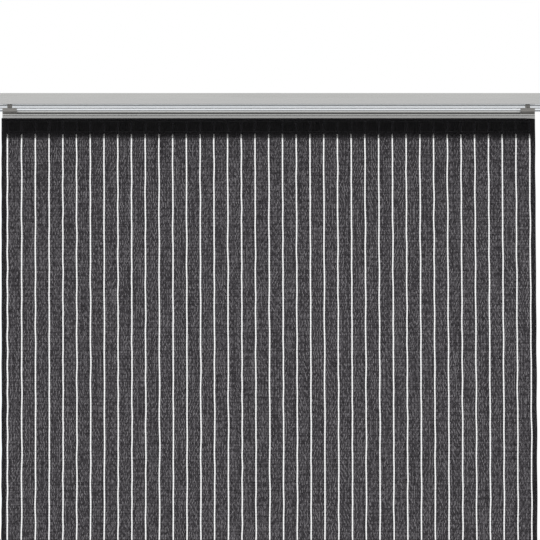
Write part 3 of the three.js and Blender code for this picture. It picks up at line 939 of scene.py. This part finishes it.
# %% [markdown]
# ## Sewing
# The loop tape is sewn to the back of the cloth with one row of lockstitch along its top and
# one along its bottom, and the hem is closed by a row above the bar. A stitch is a short capsule
# that dips into the cloth at both ends. One is modelled, from a rod whose two ends are drawn in,
# and an Array lays the row.

# %% Stitches
STITCH, STITCH_PITCH = 2.6 * MM, 3.1 * MM
STITCH_RADIUS, STITCH_DIP = 0.24 * MM, 0.22 * MM
STITCH_INSET = 4 * MM


def stitch_row(name, height, depth):
    count = int(2 * (CLOTH_HALF_WIDTH - STITCH_INSET) / STITCH_PITCH)
    first = -(count - 1) / 2 * STITCH_PITCH
    middle = (first, depth, height)
    stitches = thin_rod(name, 5, STITCH_RADIUS, STITCH, 2, middle)
    edit_only(stitches, "FACE", [abs(face.normal.x) > 0.9 for face in stitches.data.polygons])
    bpy.ops.transform.resize(value=(1, 0.45, 0.45), center_override=middle)
    bpy.ops.mesh.select_all(action="SELECT")
    bpy.ops.transform.rotate(value=math.radians(4), orient_axis="Y", center_override=middle)
    bpy.ops.object.mode_set(mode="OBJECT")
    repeat(stitches, count, (STITCH_PITCH, 0, 0))
    places = vertex_places(stitches)
    along = (places[:, 0] - first) / STITCH_PITCH
    from_middle = np.abs(along - np.rint(along))
    inward = 1 if depth < CLOTH_Y else -1
    places[:, 1] += inward * STITCH_DIP * (from_middle * STITCH_PITCH / (STITCH / 2)) ** 2
    set_vertex_places(stitches, places)
    bpy.ops.object.shade_smooth_by_angle(angle=math.radians(60))
    dress(stitches, weft_yarn)
    return stitches


face_depth = CLOTH_THICKNESS / 2 + 0.02 * MM
stitching = [
    stitch_row("tape_stitches_top", tape_high.z - 2.6 * MM, CLOTH_Y - face_depth),
    stitch_row("tape_stitches_bottom", tape_high.z - TAPE_HEIGHT + 1.9 * MM, CLOTH_Y - face_depth),
    stitch_row("hem_stitches_front", SEAM_TOP - 1.2 * MM, CLOTH_Y - face_depth - 0.2 * MM),
    stitch_row("hem_stitches_back", SEAM_TOP - 0.4 * MM, CLOTH_Y + BACK_LAYER + face_depth),
]
print(sum(triangles(row) for row in stitching), "triangles of stitching")

# %% [markdown]
# ## Hook and loop tapes
# The holder's flat face carries the hook half, and the cloth the loop half. Both are narrow woven
# bands, 16 mm high, with a pile. A grid is roughened on its face, the loop side softly and the
# hook side in rows, and Solidify closes it into a band in the place of its CAD piece.

# %% Tapes
PILE_IN_MM, RIBS_IN_MM = 0.28, 0.12
SET_BACK, EDGE_DEPTH, BAND_THICKNESS = 0.05 * MM, 0.5 * MM, 0.75 * MM


def pile_tape(name, node, body, seed, row_pitch):
    """The tape at a CAD node, with a random pile and rows of it that far apart."""
    low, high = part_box(node)
    low.z = high.z - TAPE_HEIGHT
    start_clean()
    bpy.ops.mesh.primitive_grid_add(x_subdivisions=420, y_subdivisions=18, size=1)
    piece = bpy.context.active_object
    piece.name = name
    flat = vertex_places(piece)
    x = (low.x + high.x) / 2 + flat[:, 0] * (high.x - low.x)
    z = (low.z + high.z) / 2 + flat[:, 1] * (high.z - low.z)
    rough = np.random.default_rng(seed).uniform(0, PILE_IN_MM, len(flat)) * MM
    ribs = RIBS_IN_MM * MM * (1 + np.cos(2 * math.pi * z / (row_pitch * MM)))
    edge = (np.abs(flat[:, 1]) > 0.47) | (np.abs(flat[:, 0]) > 0.499)
    depth = low.y + SET_BACK + np.where(edge, EDGE_DEPTH, rough + ribs)
    set_vertex_places(piece, np.column_stack([x, depth, z]))
    for polygon in piece.data.polygons:
        polygon.flip()
    piece.data.update()
    apply_modifier(piece, "SOLIDIFY", thickness=BAND_THICKNESS, offset=-1)
    bpy.ops.object.shade_smooth_by_angle(angle=math.radians(50))
    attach(piece, body)
    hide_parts(node)
    return piece


tape_weave, tape_shader = new_material("black tape with pile")
pile = noise(tape_weave, place_in_mm(tape_weave), 2.2, 3)
tint(tape_weave, pile, [(0.3, (0.010, 0.010, 0.011)), (0.75, (0.026, 0.026, 0.028))])
feed(tape_weave, bump(tape_weave, pile, 0.3), tape_shader.inputs["Normal"])
tape_shader.inputs["Roughness"].default_value = 0.9
tape_shader.inputs["Specular IOR Level"].default_value = 0.08
loop_band = pile_tape("loop_pile_tape", "loop_tape", "panel", 5, 9.0)
hook_band = pile_tape("hook_pile_tape", "hook_tape", "panel", 6, 1.9)
for band in (loop_band, hook_band):
    dress(band, tape_weave)
    print(band.name, triangles(band), "triangles")

# %% [markdown]
# ## What rides on what
# The cloth, its threads and its stitches hang from the holder, so they travel with the sliding
# panel. The real pieces replace the plain solid, which stays in the simulation, hidden.

# %% The cloth rides with the panel
for piece in [cloth, threads, *stitching]:
    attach(piece, "panel")
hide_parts("panel_cloth")

# %% [markdown]
# ## Sizes
# The dressed part may not outgrow the CAD model. Both boxes are printed, so that they can be
# compared.

# %% Sizes
visual_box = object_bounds()
for name, (low, high) in (("CAD", cad_box), ("visual", visual_box)):
    print(name, [round(value / MM, 1) for value in (*low, *high)])
